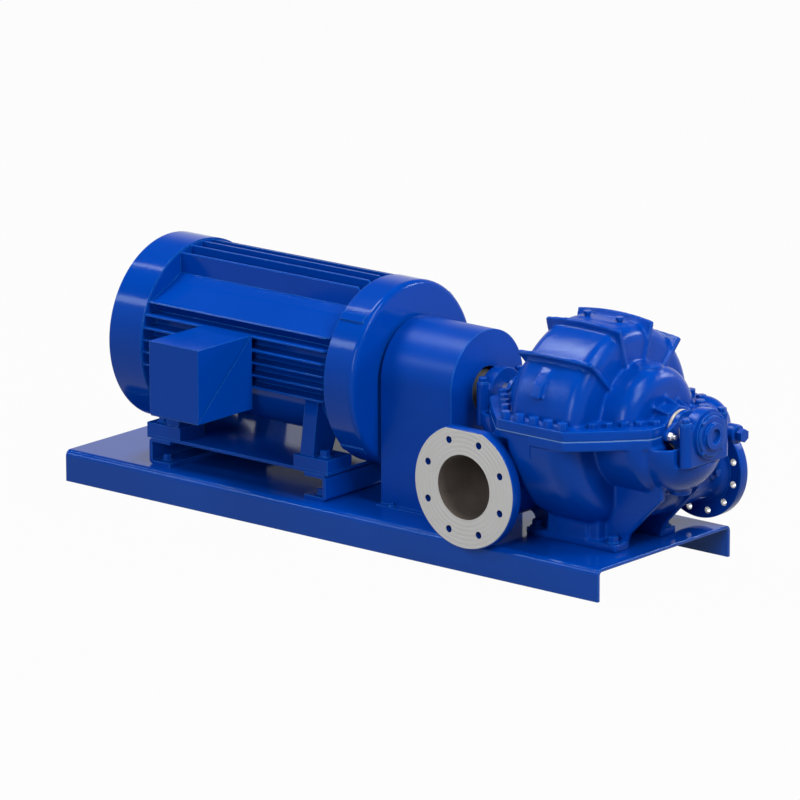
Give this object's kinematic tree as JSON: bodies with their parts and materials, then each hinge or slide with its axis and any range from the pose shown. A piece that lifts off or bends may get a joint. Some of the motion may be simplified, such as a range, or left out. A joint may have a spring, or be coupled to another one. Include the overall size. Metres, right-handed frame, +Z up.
{
  "type": "horizontal split case pump set on a base plate",
  "caption": "Horizontal split case pump with volute and side nozzles, coupled under a guard to a finned electric motor, on one folded base plate.",
  "frame": {"origin": "on the floor, in the middle of the set's footprint", "axes": "+Z up, +X along the shaft from the motor to the pump, +Y towards the discharge nozzle"},
  "size_m": [2.314, 0.864, 0.777],
  "materials": {
    "blue_paint": "gloss",
    "blue_cast_iron": "gloss paint",
    "bare_steel": "machined",
    "hub_iron": "turned",
    "insert_rubber": "matte",
    "fan_plastic": "matte"
  },
  "bodies": {
    "stationary": {"base_plate": "blue_paint", "motor_stand_plate": "blue_paint", "stand_channel_rear": "blue_paint", "stand_channel_front": "blue_paint", "motor_frame": "blue_paint", "drive_end_bracket": "blue_paint", "fan_cover": "blue_paint", "terminal_box": "blue_paint", "terminal_box_cover": "blue_paint", "coupling_guard": "blue_paint", "guard_end_plate": "blue_paint", "vent_plugs": "blue_paint", "nozzle_plugs": "blue_paint", "lower_casing": "blue_cast_iron", "upper_casing": "blue_cast_iron", "inboard_bearing_block": "blue_cast_iron", "outboard_bearing_block": "blue_cast_iron", "inboard_bearing_cap": "blue_cast_iron", "outboard_bearing_cap": "blue_cast_iron", "inboard_bearing_cover": "blue_cast_iron", "outboard_bearing_cover": "blue_cast_iron", "inboard_gland": "blue_cast_iron", "outboard_gland": "blue_cast_iron"},
    "rotor": {"motor_shaft": "bare_steel", "cooling_fan": "fan_plastic", "motor_hub": "hub_iron", "coupling_insert": "insert_rubber", "pump_hub": "hub_iron", "pump_shaft": "bare_steel", "inboard_sleeve": "bare_steel", "outboard_sleeve": "bare_steel"}
  },
  "joints": [
    {"name": "rotor_spin", "type": "hinge", "parent": "stationary", "child": "rotor", "pos_m": [0.726, 0.102, 0.473], "axis": [1, 0, 0], "continuous": true}
  ]
}
